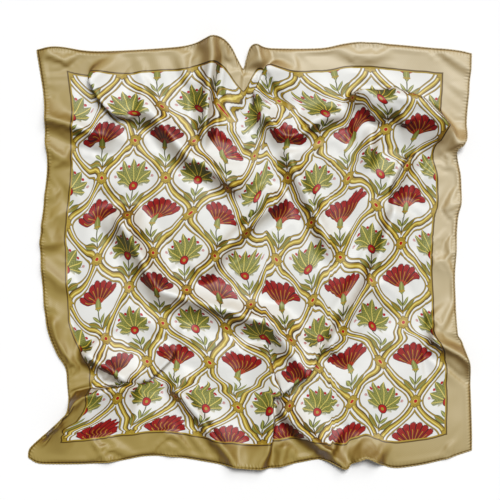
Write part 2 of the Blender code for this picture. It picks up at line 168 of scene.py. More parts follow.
# %% The small creases
CREASES = (
    Fold("tl_corner", 10, 50, 25, 25, 37, UPRIGHT,
         ((-407, 395), (-326, 347))),
    Fold("left_b", 10, 34, 42, 0, 31, UPRIGHT,
         ((-407, 214), (-349, 176), (-330, 168))),
    Fold("left_c", 5, 38, 21, 0, 31, UPRIGHT,
         ((-407, 107), (-384, 107), (-349, 120))),
    Fold("left_d", 8, 38, 50, 12, 43, UPRIGHT,
         ((-407, 47), (-334, 91))),
    Fold("left_e", 10, 50, 25, 0, 37, UPRIGHT,
         ((-414, 18), (-368, 16), (-345, 22))),
    Fold("left_f", 10, 42, 38, 0, 43, UPRIGHT,
         ((-410, -26), (-384, -39), (-330, -87))),
    Fold("left_g", 5, 34, 25, 0, 37, UPRIGHT,
         ((-407, -95), (-337, -126))),
    Fold("left_h", 11, 38, 25, 25, 37, UPRIGHT,
         ((-384, -114), (-360, -180), (-322, -233))),
    Fold("cone_mid", 8, 59, 17, 31, 31, UPRIGHT,
         ((52, 366), (58, 331), (70, 300), (75, 258), (70, 229))),
    Fold("top_crease1", 5, 25, 25, 25, 0, UPRIGHT,
         ((187, 347), (217, 412))),
    Fold("top_crease2", 5, 21, 25, 25, 0, UPRIGHT,
         ((219, 350), (246, 412))),
    Fold("tr_corner", 8, 38, 25, 31, 0, UPRIGHT,
         ((350, 393), (409, 357), (434, 347))),
    Fold("right_a", 4, 29, 29, 31, 0, UPRIGHT,
         ((373, 324), (434, 300))),
    Fold("diag_soft1", 5, 29, 29, 31, 43, UPRIGHT,
         ((216, -49), (242, -78), (285, -133))),
    Fold("diag_soft2", 5, 34, 29, 31, 43, UPRIGHT,
         ((242, -37), (319, -126))),
    Fold("in_a", 8, 59, 42, 31, 31, UPRIGHT,
         ((-274, 185), (-268, 158), (-276, 101))),
    Fold("in_b", 8, 50, 38, 25, 37, UPRIGHT,
         ((-272, 93), (-274, 47), (-266, 20))),
    Fold("in_c", 8, 50, 38, 31, 37, UPRIGHT,
         ((-224, 97), (-226, 39), (-216, 9))),
    Fold("in_d", 5, 59, 38, 37, 43, UPRIGHT,
         ((-170, 201), (-168, 168), (-176, 105), (-174, 70))),
    Fold("low_left", 10, 42, 50, 37, 43, UPRIGHT,
         ((-245, -97), (-176, -143), (-157, -168))),
    Fold("low_mid", 8, 34, 34, 25, 43, UPRIGHT,
         ((-128, -126), (-126, -153), (-109, -203))),
    Fold("right_mid", 8, 34, 34, 0, 43, UPRIGHT,
         ((411, 12), (323, -41))),
    Fold("right_up", 8, 25, 34, 0, 37, UPRIGHT,
         ((419, 101), (350, 78))),
    Fold("bl_border", 8, 25, 29, 25, 0, UPRIGHT,
         ((-311, -345), (-264, -410))),
    Fold("bottom_a", 5, 29, 25, 25, 0, UPRIGHT,
         ((-136, -329), (-155, -398))),
    Fold("bottom_b", 8, 29, 29, 25, 0, UPRIGHT,
         ((8, -356), (0, -418))),
    Fold("bottom_c", 10, 29, 29, 25, 0, UPRIGHT,
         ((68, -352), (60, -418))),
    Fold("br_corner", 4, 21, 21, 18, 0, UPRIGHT,
         ((377, -356), (381, -402))),
)
print(len(FOLDS), "folds and", len(CREASES), "creases")

# %% [markdown]
# ## From tables to a surface
#
# Three steps turn the tables into cloth. `plan` spreads the square over the outline. `fold_rise`
# raises one ridge: a tent in section, rounded at its crest and soft at its foot, because silk
# is stiff enough to stand in flat slopes but not to hold a sharp edge. Large folds then merge, so
# that the taller one wins where two meet, and small ones are added on top. Last, a fold may lean
# over, which hides the cloth behind it.

# %% Smooth lines through a few points
EDGE_STEPS = 16
CURVE_STEPS = 9


def ease(t):
    """Smooth step from 0 to 1."""
    t = np.clip(t, 0.0, 1.0)
    return t * t * (3.0 - 2.0 * t)


def smooth_line(points, steps):
    """Catmull-Rom line through the points, with the given straight steps between two of them."""
    points = np.asarray(points, dtype=float)
    before = 2.0 * points[0] - points[1]
    after = 2.0 * points[-1] - points[-2]
    knots = np.vstack((before, points, after))
    t = np.arange(steps)[:, None] / steps
    spans = []
    for i in range(1, len(knots) - 2):
        p0, p1, p2, p3 = knots[i - 1:i + 3]
        linear = (p2 - p0) * t
        square = (2.0 * p0 - 5.0 * p1 + 4.0 * p2 - p3) * t ** 2
        cube = (3.0 * p1 - p0 - 3.0 * p2 + p3) * t ** 3
        spans.append(0.5 * (2.0 * p1 + linear + square + cube))
    spans.append(points[-1:])
    return np.vstack(spans)


def edge_line(points):
    """An edge as a function of the share of its length, from 0 to 1."""
    line = smooth_line(np.array(points) * MM, EDGE_STEPS)
    lengths = np.hypot(*np.diff(line, axis=0).T)
    share = np.concatenate(([0.0], np.cumsum(lengths)))
    share /= share[-1]

    def at(s):
        return np.stack((np.interp(s, share, line[:, 0]), np.interp(s, share, line[:, 1])), -1)
    return at


top_edge, bottom_edge = edge_line(TOP_EDGE), edge_line(BOTTOM_EDGE)
right_edge, left_edge = edge_line(RIGHT_EDGE), edge_line(LEFT_EDGE)

# %% Spread the square over its outline
EDGE_REACH = 0.30          # how far inwards the bends of an edge are felt, as a share of the side


def plan(a, b):
    """Place on the table of the cloth's point at shares a (left to right) and b (up)."""
    low_left, low_right = bottom_edge(0.0), bottom_edge(1.0)
    high_left, high_right = top_edge(0.0), top_edge(1.0)
    a_, b_ = a[:, None], b[:, None]
    low = low_left * (1 - a_) + low_right * a_
    high = high_left * (1 - a_) + high_right * a_
    left = low_left * (1 - b_) + high_left * b_
    right = low_right * (1 - b_) + high_right * b_

    def fade(inset):
        return np.clip(1.0 - inset / EDGE_REACH, 0.0, 1.0) ** 2

    place = low * (1 - b_) + high * b_
    place += (top_edge(a) - high) * fade(1 - b_)
    place += (bottom_edge(a) - low) * fade(b_)
    place += (right_edge(b) - right) * fade(1 - a_)
    place += (left_edge(b) - left) * fade(a_)
    return place


# %% Raise one fold
CREST_ROUND = 0.10         # rounding of a crest, as a share of the fold's reach
FOOT = 1.6                 # how softly a slope runs out at its foot: 1 is a plain tent
TIP_REACH = 0.5            # share of its reach that a fold keeps where it dies out


def from_crest(line, x, y):
    """Distance to a crest line, whether the point lies left of it, and how far along it."""
    near = np.full(x.shape, np.inf)
    is_left = np.zeros(x.shape, dtype=bool)
    along = np.zeros(x.shape)
    walked = 0.0
    for start, end in zip(line[:-1], line[1:]):
        run = end - start
        length = np.hypot(*run)
        dx, dy = x - start[0], y - start[1]
        t = np.clip((dx * run[0] + dy * run[1]) / length ** 2, 0.0, 1.0)
        gap = np.hypot(dx - t * run[0], dy - t * run[1])
        closer = gap < near
        near = np.where(closer, gap, near)
        is_left = np.where(closer, run[0] * dy - run[1] * dx > 0, is_left)
        along = np.where(closer, walked + t * length, along)
        walked += length
    return near, is_left, along, walked


def section(t):
    """Height of a fold's section at t reaches from its crest: a tent, rounded at its crest."""
    run = np.hypot(t, CREST_ROUND) - CREST_ROUND
    full = np.hypot(1.0, CREST_ROUND) - CREST_ROUND
    return np.clip(1.0 - run / full, 0.0, 1.0) ** FOOT


def fold_rise(fold, x, y):
    """Height that one fold gives to the points x, y, before it leans."""
    foot = np.array(fold.crest) * MM - np.array(fold.lean) * fold.height * MM
    near, is_left, along, length = from_crest(smooth_line(foot, CURVE_STEPS), x, y)
    strength = np.ones(x.shape)
    if fold.start:
        strength *= ease(along / (fold.start * MM))
    if fold.end:
        strength *= ease((length - along) / (fold.end * MM))
    reach = np.where(is_left, fold.left, fold.right) * MM
    reach = reach * (TIP_REACH + (1 - TIP_REACH) * np.sqrt(strength))
    return fold.height * MM * strength * section(near / reach)


# %% Merge the folds and let them lean
MERGE = 2.5                # exponent that merges large folds: higher keeps only the tallest
LEAN_FROM = 0.35           # share of a fold's height above which it leans in full
EDGE_UPRIGHT = 0.05        # folds stop leaning this close to an edge, as a share of the side


def cloth_rise(x, y):
    """Height of the cloth over its flat lie, and its lean, at the points x, y."""
    merged = np.zeros(x.shape)
    lean = np.zeros(x.shape + (2,))
    for fold in FOLDS:
        rise = fold_rise(fold, x, y)
        merged += rise ** MERGE
        if fold.lean != UPRIGHT:
            part = ease(rise / (LEAN_FROM * fold.height * MM))
            lean += np.array(fold.lean) * part[..., None]
    laid_on = sum(fold_rise(crease, x, y) for crease in CREASES)
    return merged ** (1 / MERGE) + laid_on, lean


# %% Lay the whole square
MIDDLE = np.array((0.47, -0.69)) * MM    # middle of the hemmed outline, as in the CAD model


def laid_cloth(a, b):
    """Places of the cloth's points at shares a and b, with every fold raised and leaning."""
    x, y = plan(a, b).T
    rise, lean = cloth_rise(x, y)
    inset = np.minimum(np.minimum(a, 1 - a), np.minimum(b, 1 - b))
    lean = lean * ease(inset / EDGE_UPRIGHT)[:, None]
    place = np.column_stack((x, y)) + lean * rise[:, None] - MIDDLE
    return np.column_stack((place, THICK + rise))


shares = np.linspace(0.0, 1.0, LAID_CELLS + 1)
across, up = (grid.ravel() for grid in np.meshgrid(shares, shares))
laid = laid_cloth(across, up)
print("laid cloth, lowest and highest corner in mm:", laid.min(axis=0) / MM, laid.max(axis=0) / MM)

# %% Join points and faces into a piece
def placed(name, data):
    """An object in the scene, at the origin, that holds this mesh, light or camera."""
    thing = bpy.data.objects.new(name, data)
    bpy.context.scene.collection.objects.link(thing)
    return thing


def make_piece(name, points, faces, uvs=None):
    """A mesh object at the origin, smooth, with its place in its mesh."""
    mesh = bpy.data.meshes.new(name)
    mesh.from_pydata(points, [], faces)
    if uvs is not None:
        corner = np.empty(len(mesh.loops), dtype=np.int32)
        mesh.loops.foreach_get("vertex_index", corner)
        layer = mesh.uv_layers.new(name="cloth")
        layer.uv.foreach_set("vector", uvs[corner].ravel().astype(np.float32))
    mesh.shade_smooth()
    mesh.validate()
    return placed(name, mesh)


def level_square(name, reach):
    """A level square around the origin that reaches this far to each side."""
    corners = [(x * reach, y * reach, 0.0) for x, y in ((-1, -1), (1, -1), (1, 1), (-1, 1))]
    return make_piece(name, corners, [(0, 1, 2, 3)])


# %% Faces of a grid
def grid_faces(count):
    """The squares of a grid with count points a side, and the points around its rim."""
    index = np.arange(count * count).reshape(count, count)
    corners = (index[:-1, :-1], index[:-1, 1:], index[1:, 1:], index[1:, :-1])
    rim = np.concatenate((index[0, :-1], index[:-1, -1], index[-1, :0:-1], index[:0:-1, 0]))
    return np.stack([corner.ravel() for corner in corners], axis=1), rim


# %% [markdown]
# ## Let the silk settle
#
# As laid, the cloth is stretched on its slopes and slack between them. Silk can't stretch: it
# shares its slack out until each part is as long as it was on the flat square, and that is what
# gives a scarf its uneven folds. Blender's cloth solves just this. It starts from the laid form,
# its springs have the lengths of the flat square, and its rim is pinned, so that the outline
# stays. Fifteen frames are enough. A longer run would move the ridges from where they were laid.

# %% Settle
SETTLE_FRAMES = 15
SILK = {                   # the solver's own units: soft springs that hardly bend back
    "quality": 5,
    "mass": 0.15,
    "tension_stiffness": 15.0,
    "compression_stiffness": 15.0,
    "shear_stiffness": 3.0,
    "bending_stiffness": 0.3,
    "air_damping": 2.0,
}
WEIGHT = 0.02              # share of gravity: the folds must not sink while the slack moves


def table_under():
    """A table for the cloth to touch while it settles."""
    table = level_square("table", 1.0)
    table.modifiers.new("table", "COLLISION")
    table.collision.thickness_outer = 2 * THICK
    return table


def settled(laid):
    """The laid points after the cloth has shared out its slack."""
    faces, rim = grid_faces(LAID_CELLS + 1)
    flat = np.column_stack((across * SIDE, up * SIDE, np.zeros(across.shape)))
    cloth = make_piece("settling_silk", flat, faces.tolist())
    cloth.shape_key_add(name="flat")
    start = cloth.shape_key_add(name="laid")
    start.data.foreach_set("co", laid.ravel())
    start.value = 1.0
    cloth.vertex_groups.new(name="rim").add(rim.tolist(), 1.0, "REPLACE")
    solver = cloth.modifiers.new("silk", "CLOTH")
    for key, value in SILK.items():
        setattr(solver.settings, key, value)
    solver.settings.rest_shape_key = cloth.data.shape_keys.key_blocks["flat"]
    solver.settings.vertex_group_mass = "rim"
    solver.settings.effector_weights.gravity = WEIGHT
    solver.collision_settings.distance_min = THICK
    solver.point_cache.frame_end = SETTLE_FRAMES
    table = table_under()
    for step in range(1, SETTLE_FRAMES + 1):
        bpy.context.scene.frame_set(step)
    ready = cloth.evaluated_get(bpy.context.evaluated_depsgraph_get())
    points = np.empty(laid.size)
    ready.data.vertices.foreach_get("co", points)
    points = points.reshape(laid.shape)
    points[:, 2] = np.maximum(points[:, 2], THICK)
    bpy.data.objects.remove(cloth)
    bpy.data.objects.remove(table)
    bpy.context.scene.frame_set(1)
    return points


settled_points = settled(laid)
moved = np.linalg.norm(settled_points - laid, axis=1)
print("settling moved the cloth by", moved.mean() / MM, "mm on average, at most", moved.max() / MM)
print("highest point in mm:", settled_points[:, 2].max() / MM)

# %% [markdown]
# ## One mesh for the silk
#
# A grid is the natural mesh for a square of cloth: its rows and columns are the warp and the weft.
# The print has to follow the cloth up and over each fold, so the UV map isn't the view from above.
# It is the length walked along each row and column of the grid, which is how far apart two points
# lie on the flat square.

# %% A finer grid, and its lower face
def finer(grid):
    """The grid with smooth lines through its rows and columns, in more steps than it had."""
    for _ in range(2):
        lines = smooth_line(grid.reshape(len(grid), -1), CELL_PARTS)
        grid = lines.reshape(len(lines), -1, 3).swapaxes(0, 1)
    return grid


def underside(grid):
    """The lower face: the cloth's thickness away, square to it, and never below the table."""
    normal = np.cross(np.gradient(grid, axis=1), np.gradient(grid, axis=0))
    normal /= np.linalg.norm(normal, axis=-1)[..., None]
    lower = grid - THICK * normal
    lower[..., 2] = np.maximum(lower[..., 2], 0.0)
    return lower


cells = LAID_CELLS * CELL_PARTS
upper = finer(settled_points.reshape(LAID_CELLS + 1, LAID_CELLS + 1, 3))
lower = underside(upper)

# %% The cloth's own measure
def walked(points, axis):
    """Share of the way along each row (axis 1) or column (axis 0) of a grid of points."""
    steps = np.linalg.norm(np.diff(points, axis=axis), axis=-1)
    total = np.cumsum(steps, axis=axis)
    first = np.zeros_like(np.take(total, [0], axis=axis))
    total = np.concatenate((first, total), axis=axis)
    return total / np.take(total, [-1], axis=axis)


cloth_uv = np.column_stack((walked(upper, 1).ravel(), walked(upper, 0).ravel()))

# %% The silk as a closed shell
top_faces, rim = grid_faces(cells + 1)
below = (cells + 1) ** 2
after = np.roll(rim, -1)
rim_faces = np.stack((rim + below, after + below, after, rim), axis=1)
silk = make_piece(
    "printed_silk",
    np.vstack((upper.reshape(-1, 3), lower.reshape(-1, 3))),
    np.vstack((top_faces, top_faces[:, ::-1] + below, rim_faces)).tolist(),
    np.vstack((cloth_uv, cloth_uv)),
)
silk_area = sum(face.area for face in silk.data.polygons[:len(top_faces)])
print("silk:", len(silk.data.polygons) * 2, "triangles,", round(silk_area, 3), "m2 of", SIDE * SIDE)

# %% [markdown]
# ## The rolled hems
#
# To roll a hem, the maker turns the raw edge between finger and thumb into a fine cord and catches
# it down every few millimetres. Each stitch pulls a small dimple into the roll. A plain bevelled
# curve would give the cord but not the dimples, so each hem is a ring of points swept along the
# edge, and the ring narrows where a stitch lies.

# %% Sweep a dimpled roll along an edge
RING = 10                  # points around the roll
RINGS_PER_STITCH = 7
DIMPLE = 0.26              # how much a stitch narrows the roll
DIMPLE_REACH = 1.3 * MM
OUTWARDS = 0.5 * MM        # the roll's middle lies this far outside the cloth's edge


def hem_line(edge_up, edge_down, side):
    """Middle line of the roll that this edge of the cloth is rolled into."""
    line = smooth_line((edge_up[:, :2] + edge_down[:, :2]) / 2, 2)
    run = np.gradient(line, axis=0)
    square = np.column_stack((-run[:, 1], run[:, 0])) * side
    square /= np.linalg.norm(square, axis=1)[:, None]
    line = line + square * OUTWARDS
    return np.column_stack((line, smooth_line(edge_down[:, 2:], 2) + HEM_RADIUS))


def even_steps(line):
    """The line in even steps, a whole number of stitches long, and the stitches walked at each."""
    lengths = np.concatenate(([0.0], np.cumsum(np.linalg.norm(np.diff(line, axis=0), axis=1))))
    stitches = int(lengths[-1] / STITCH_STEP)
    walked_by = np.arange(stitches * RINGS_PER_STITCH + 1) / RINGS_PER_STITCH
    at = walked_by * lengths[-1] / stitches
    return np.column_stack([np.interp(at, lengths, line[:, k]) for k in range(3)]), walked_by


def roll(name, line):
    """A closed roll along the line, with a dimple at each stitch."""
    line, at = even_steps(line)
    ahead = np.gradient(line, axis=0)
    ahead /= np.linalg.norm(ahead, axis=1)[:, None]
    aside = np.cross(ahead, (0.0, 0.0, 1.0))
    aside /= np.linalg.norm(aside, axis=1)[:, None]
    upwards = np.cross(aside, ahead)
    from_stitch = ((at + 0.5) % 1.0 - 0.5) * STITCH_STEP
    radius = HEM_RADIUS * (1.0 - DIMPLE * np.exp(-(from_stitch / DIMPLE_REACH) ** 2))
    turn = np.linspace(0.0, math.tau, RING, endpoint=False)
    ring = np.cos(turn)[None, :, None] * aside[:, None] + np.sin(turn)[None, :, None] * upwards[:, None]
    points = line[:, None] + ring * radius[:, None, None]
    # A dimple presses the roll down, and its underside stays where it rests
    points[..., 2] -= (HEM_RADIUS - radius)[:, None]
    points[..., 2] = np.maximum(points[..., 2], 0.0)
    index = np.arange(len(line) * RING).reshape(len(line), RING)
    around = np.roll(index, -1, axis=1)
    sides = (index[:-1], index[1:], around[1:], around[:-1])
    faces = np.stack([grid.ravel() for grid in sides], axis=1).tolist()
    faces += [index[0].tolist(), index[-1, ::-1].tolist()]
    wraps = np.broadcast_to(turn / math.tau, index.shape)
    stitches = np.broadcast_to(at[:, None], index.shape)
    uvs = np.column_stack((stitches.ravel(), wraps.ravel()))
    return make_piece(name, points.reshape(-1, 3), faces, uvs)


# %% Four hems
hem_lines = {
    "hem_top": hem_line(upper[-1], lower[-1], 1),
    "hem_right": hem_line(upper[:, -1], lower[:, -1], -1),
    "hem_bottom": hem_line(upper[0], lower[0], -1),
    "hem_left": hem_line(upper[:, 0], lower[:, 0], 1),
}
hems = {node: roll("rolled_" + node, line) for node, line in hem_lines.items()}
for node, hem in hems.items():
    print(hem.name, len(hem.data.polygons) * 2, "triangles")

# %% [markdown]
# ## Slip stitches
#
# A slip stitch shows as a short slanting thread over the roll. All of them are alike and follow a
# line, which is what Geometry Nodes are for: the line is cut into even steps, one curved thread is
# set at each step and turned along the line, and the threads are realized into one plain mesh.

# %% A helper that adds one node
def add(tree, kind, *inputs, named=(), **settings):
    """Add a node: its settings, then its open inputs in order, then the inputs that are named.

    A node given as an input links its first open output, and None leaves an input as it is.
    """
    kind, _, operation = kind.partition(" ")
    if operation:
        settings["operation"] = operation
    node = tree.nodes.new(kind)
    for key, value in settings.items():
        setattr(node, key, value)
    sockets = [socket for socket in node.inputs if socket.enabled]
    for socket, value in [*zip(sockets, inputs), *((node.inputs[key], named[key]) for key in named)]:
        if isinstance(value, bpy.types.Node):
            value = next(output for output in value.outputs if output.enabled)
        if isinstance(value, bpy.types.NodeSocket):
            tree.links.new(value, socket)
        elif value is not None:
            socket.default_value = value
    return node


# %% The tree that sews a row of stitches
THREAD_RADIUS = 0.2 * MM
THREAD_SIDES = 5
THREAD_PARTS = 5
SLANT = 0.9 * MM           # a stitch leans this far along the hem on each side of its middle
STRADDLE = 1.1 * MM        # how far it reaches down each side of the roll
DIP = -0.5 * MM            # height of its ends over the middle of the roll
RISE = 1.9 * MM            # height of the point that pulls its arch up


def stitch_tree():
    """Stitches along a line, with their spacing, thread and finish as named inputs."""
    tree = bpy.data.node_groups.new("slip_stitches", "GeometryNodeTree")
    for label, kind in (
        ("Line", "NodeSocketGeometry"),
        ("Spacing", "NodeSocketFloat"),
        ("Thread radius", "NodeSocketFloat"),
        ("Finish", "NodeSocketMaterial"),
    ):
        tree.interface.new_socket(label, in_out="INPUT", socket_type=kind)
    tree.interface.new_socket("Stitches", in_out="OUTPUT", socket_type="NodeSocketGeometry")
    line, spacing, thread, finish = add(tree, "NodeGroupInput").outputs[:4]
    curve = add(tree, "GeometryNodeMeshToCurve", line)
    spots = add(tree, "GeometryNodeCurveToPoints", curve, spacing, mode="LENGTH")
    arch = add(
        tree, "GeometryNodeCurveQuadraticBezier", THREAD_PARTS,
        (-SLANT, -STRADDLE, DIP), (0.0, 0.0, RISE), (SLANT, STRADDLE, DIP),
    )
    ring = add(tree, "GeometryNodeCurvePrimitiveCircle", THREAD_SIDES, thread)
    stitch = add(tree, "GeometryNodeCurveToMesh", arch, ring, named={"Fill Caps": True})
    turned = add(
        tree, "FunctionNodeAlignRotationToVector", named={"Vector": spots.outputs["Tangent"]},
        axis="X", pivot_axis="Z",
    )
    row = add(
        tree, "GeometryNodeInstanceOnPoints", spots,
        named={"Instance": stitch.outputs[0], "Rotation": turned.outputs[0]},
    )
    real = add(tree, "GeometryNodeRealizeInstances", row)
    finished = add(tree, "GeometryNodeSetMaterial", real, named={"Material": finish})
    add(tree, "NodeGroupOutput", finished)
    return tree


# %% [markdown]
# ## Colours, and a finish for printed silk twill
#
# Silk twill is woven in fine diagonal ribs and printed with dye, which sinks in and leaves the
# gloss to the fibre. Fold after fold, the eye sees a soft, wide highlight with a pearly edge, never
# a mirror. So the finish is a plain shader with middling roughness and a little sheen. The
# colours come from the print, with painted shade added on steep flanks and a painted sheen on
# the border, and the twill and the small wrinkles are bumps.

# %% Colours of the dyes
def dye(code):
    """Linear colour of an sRGB hex code."""
    parts = [int(code[i:i + 2], 16) / 255 for i in (1, 3, 5)]
    return [c / 12.92 if c <= 0.04045 else ((c + 0.055) / 1.055) ** 2.4 for c in parts] + [1.0]


WHITE = dye("#DCDCD8")
KHAKI = dye("#9C8748")
# painted sheen: the border's khaki as it looks where the light glances off it, towards the upper right
PAINTED_SHEEN_KHAKI = dye("#C1B291")
BRONZE = dye("#80631C")
UMBER = dye("#594410")
GOLD = dye("#A38929")
STRAW = dye("#D6C364")
RED = dye("#A8140A")
WINE = dye("#520D0A")
OLIVE = dye("#84863E")
MOSS = dye("#55572A")
SAGE = dye("#B3B66C")

# %% [markdown]
# ## The print
#
# The field carries a traditional ogee trellis, the net of pointed ovals known from old brocades,
# with a carnation or a fan of leaves in each oval. A print could be painted as an image, but a
# pattern with a rule is better as nodes: it stays sharp at any size and every measure in it is a
# real one. Each motif is a distance in millimetres that is negative inside, and `inked` turns a
# distance into a mask with a slightly soft edge, as dye has on silk. The plain numbers in a motif
# are the millimetres of its drawing: a place, half the width of a line, or a margin.

# %% Places on the flat cloth
def flat_place(tree):
    """Place in mm from the cloth's middle, its x and y, and how far in from the edge it lies."""
    uv = add(tree, "ShaderNodeUVMap", uv_map="cloth")
    side = SIDE / MM
    half = side / 2
    place = add(tree, "ShaderNodeVectorMath MULTIPLY_ADD", uv, (side, side, 0.0), (-half, -half, 0.0))
    x, y = add(tree, "ShaderNodeSeparateXYZ", place).outputs[:2]
    far_x = add(tree, "ShaderNodeMath ABSOLUTE", x)
    far_y = add(tree, "ShaderNodeMath ABSOLUTE", y)
    far = add(tree, "ShaderNodeMath MAXIMUM", far_x, far_y)
    return place, x, y, add(tree, "ShaderNodeMath SUBTRACT", half, far)


# %% Masks from distances
FUZZ = 0.7                 # mm over which an edge of the print fades
MIDRIB = 0.45              # mm, half the width of a small leaf's midrib


def inked(tree, *distances):
    """Mask of the places where every distance is negative."""
    most = distances[0]
    for distance in distances[1:]:
        most = add(tree, "ShaderNodeMath MAXIMUM", most, distance)
    return add(tree, "ShaderNodeMath MULTIPLY_ADD", most, -1 / FUZZ, 0.5, use_clamp=True)


def line_at(tree, value, middle, half_width):
    """Distance to a band around the place where the value is the given middle."""
    off = add(tree, "ShaderNodeMath ABSOLUTE", add(tree, "ShaderNodeMath SUBTRACT", value, middle))
    return add(tree, "ShaderNodeMath SUBTRACT", off, half_width)


def polar(tree, x, y):
    """Distance to the origin, and the angle turned from the y axis, in radians."""
    flat = add(tree, "ShaderNodeCombineXYZ", x, y)
    return add(tree, "ShaderNodeVectorMath LENGTH", flat), add(tree, "ShaderNodeMath ARCTAN2", x, y)


def leaf(tree, x, y, start, end, half_width):
    """Distance to a pointed leaf between two spots, and to its midrib."""
    (x0, y0), (x1, y1) = start, end
    length = math.hypot(x1 - x0, y1 - y0)
    along = ((x1 - x0) / length, (y1 - y0) / length)
    radius = (length ** 2 / 4 + half_width ** 2) / (2 * half_width)
    spot = add(tree, "ShaderNodeCombineXYZ", x, y)
    far = []
    for side in (-1, 1):
        sunk = side * (radius - half_width)
        middle = ((x0 + x1) / 2 - along[1] * sunk, (y0 + y1) / 2 + along[0] * sunk, 0.0)
        far.append(add(tree, "ShaderNodeVectorMath DISTANCE", spot, middle))
    edge = add(tree, "ShaderNodeMath MAXIMUM", *far)
    across = add(tree, "ShaderNodeVectorMath DOT_PRODUCT", spot, (-along[1], along[0], 0.0))
    rib = line_at(tree, across, y0 * along[0] - x0 * along[1], MIDRIB)
    return add(tree, "ShaderNodeMath SUBTRACT", edge, radius), rib


# %% The trellis and its rosettes
TILE_WIDE = 133.4          # mm between two ovals side by side
TILE_HIGH = 160.0          # mm between an oval and the next above it
SWING = 28.3               # mm that the lines of the trellis swing to each side
ROSETTE = 11.0             # mm, radius of the rosette where two ovals touch
ROSETTE_LOBES = 8.0
LOBE_RISE = 1.5            # mm that a lobe of the rosette stands out


def trellis(tree, x, y):
    """Layers of the trellis: its lines, and a rosette where two ovals touch."""
    wide, high = TILE_WIDE / 2, TILE_HIGH / 2
    fold_x = add(tree, "ShaderNodeMath PINGPONG", x, wide)
    phase = add(tree, "ShaderNodeMath MULTIPLY", y, math.pi / high)
    cosine = add(tree, "ShaderNodeMath COSINE", phase)
    swing = add(tree, "ShaderNodeMath MULTIPLY_ADD", cosine, SWING, wide / 2)
    sine = add(tree, "ShaderNodeMath SINE", phase)
    slope = add(tree, "ShaderNodeMath MULTIPLY", sine, SWING * math.pi / high)
    steep = add(tree, "ShaderNodeVectorMath LENGTH", add(tree, "ShaderNodeCombineXYZ", slope, 1.0))
    off = add(tree, "ShaderNodeMath DIVIDE", add(tree, "ShaderNodeMath SUBTRACT", fold_x, swing), steep)
    beside = add(tree, "ShaderNodeMath ABSOLUTE", off)
    near_axis = add(tree, "ShaderNodeMath LESS_THAN", fold_x, wide / 2)
    touch_y = add(tree, "ShaderNodeMath MULTIPLY", near_axis, high)
    fold_y = add(tree, "ShaderNodeMath PINGPONG", y, high)
    spot = (
        add(tree, "ShaderNodeMath PINGPONG", x, wide / 2),
        add(tree, "ShaderNodeMath SUBTRACT", fold_y, touch_y),
    )
    reach, angle = polar(tree, *spot)
    lobe = add(tree, "ShaderNodeMath MULTIPLY", angle, ROSETTE_LOBES)
    ripple = add(tree, "ShaderNodeMath COSINE", lobe)
    petals = add(tree, "ShaderNodeMath MULTIPLY_ADD", ripple, -LOBE_RISE, reach)
    return [
        (inked(tree, line_at(tree, beside, 10.0, 1.7)), UMBER),
        (inked(tree, line_at(tree, beside, 9.8, 0.9)), GOLD),
        (inked(tree, line_at(tree, off, 0.0, 4.9)), UMBER),
        (inked(tree, line_at(tree, off, 0.6, 3.2)), GOLD),
        (inked(tree, line_at(tree, off, 1.0, 1.1)), STRAW),
        (inked(tree, add(tree, "ShaderNodeMath SUBTRACT", petals, ROSETTE + 1.2)), UMBER),
        (inked(tree, add(tree, "ShaderNodeMath SUBTRACT", petals, ROSETTE)), GOLD),
        (inked(tree, add(tree, "ShaderNodeMath SUBTRACT", reach, 4.6)), STRAW),
        (inked(tree, add(tree, "ShaderNodeMath SUBTRACT", reach, 3.6)), RED),
    ]


# %% The stalk under each motif
STALK_TOP = -20.0          # mm up from the middle of the oval
STALK_FOOT = -64.0


def stalk(tree, x, y):
    """Layers of a stalk with two pairs of leaves."""
    x = add(tree, "ShaderNodeMath ABSOLUTE", x)
    foot = STALK_FOOT
    low, low_rib = leaf(tree, x, y, (0.0, foot + 4.0), (27.0, foot + 32.0), 5.2)
    high, high_rib = leaf(tree, x, y, (0.0, foot + 16.0), (13.0, foot + 36.0), 3.2)
    stem = add(tree, "ShaderNodeMath SUBTRACT", x, 1.2)
    length = line_at(tree, y, (STALK_TOP + foot) / 2, (STALK_TOP - foot) / 2)
    layers = [(inked(tree, stem, length), MOSS)]
    for edge, rib in ((low, low_rib), (high, high_rib)):
        layers.append((inked(tree, edge), MOSS))
        layers.append((inked(tree, add(tree, "ShaderNodeMath ADD", edge, 0.9)), OLIVE))
        layers.append((inked(tree, edge, rib), SAGE))
    return layers


# %% The carnation
PETALS = 7
PETAL_TURN = math.radians(18)      # angle that a petal takes up
FAN_TURN = PETALS * PETAL_TURN / 2
PETAL_REACH = 50.0         # mm from the foot of the flower to its rim
PETAL_HALF = 10.0          # mm, half the width of a petal where its veins are drawn
PETAL_ROUND = 5.0          # mm by which the corners of a petal are rounded
TEETH_TURN = math.radians(1.5)
TEETH_DEEP = 2.2           # mm
STRANDS = 5                # fine strands drawn across each petal


